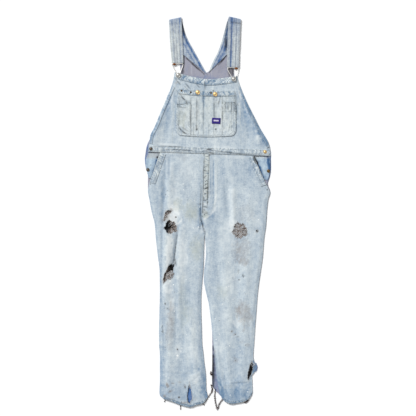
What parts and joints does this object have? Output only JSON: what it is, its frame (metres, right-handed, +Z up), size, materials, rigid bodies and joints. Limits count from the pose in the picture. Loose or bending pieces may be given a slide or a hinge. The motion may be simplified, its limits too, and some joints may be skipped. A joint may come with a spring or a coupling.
{
  "type": "paint spattered denim bib dungarees",
  "caption": "Worn, torn and paint spattered denim bib dungarees laid flat, front up, with folded shoulder straps, a bib pocket, slanted side pockets and frayed hems.",
  "frame": {"origin": "on the floor under the middle of the garment's outline", "axes": "+Y from the leg hems to the shoulder straps, +Z up off the floor and out of the front, -X the wearer's right"},
  "size_m": [0.4786, 1.4835, 0.0135],
  "materials": {
    "faded_denim": "worn pale blue twill, bleached, stained and dotted with paint",
    "unfaded_denim": "mid blue twill that the sun has not reached",
    "strap_denim": "pale blue twill in layers, with lengthwise rows of stitching",
    "denim_inside": "lavender grey wrong side of the twill",
    "woven_label": "dark purple satin weave with no lettering",
    "worn_brass": "dull golden brass, rubbed on the rims",
    "rusty_wire": "dull nickel plate with brown rust where it has worn through",
    "dark_rivet": "blackened steel"
  },
  "bodies": {
    "root": {"back_panel_r": "denim_inside", "back_panel_l": "denim_inside", "side_facing_r": "unfaded_denim", "side_facing_l": "unfaded_denim", "front_leg_r": "faded_denim", "front_leg_l": "faded_denim", "leg_hem_r": "faded_denim", "leg_hem_l": "faded_denim", "pocket_mouth_hem_r": "faded_denim", "pocket_mouth_hem_l": "faded_denim", "fly_band": "faded_denim", "bib": "faded_denim", "waistband": "faded_denim", "bib_top_band": "faded_denim", "bib_hem_r": "unfaded_denim", "bib_hem_l": "unfaded_denim", "bib_pocket": "faded_denim", "pocket_hem": "faded_denim", "pencil_pocket": "faded_denim", "watch_pocket": "faded_denim", "label": "woven_label", "strap_r": "strap_denim", "strap_l": "strap_denim", "buckle_r": "rusty_wire", "buckle_l": "rusty_wire", "bib_button_r": "rusty_wire", "bib_button_l": "rusty_wire", "pocket_button_r": "worn_brass", "pocket_button_l": "worn_brass", "waist_button_r": "worn_brass", "waist_button_l": "worn_brass", "hip_button_r": "worn_brass", "hip_button_l": "worn_brass", "pocket_rivet_outer": "dark_rivet", "pocket_rivet_inner": "dark_rivet", "pocket_rivet_centre": "dark_rivet"}
  },
  "joints": []
}
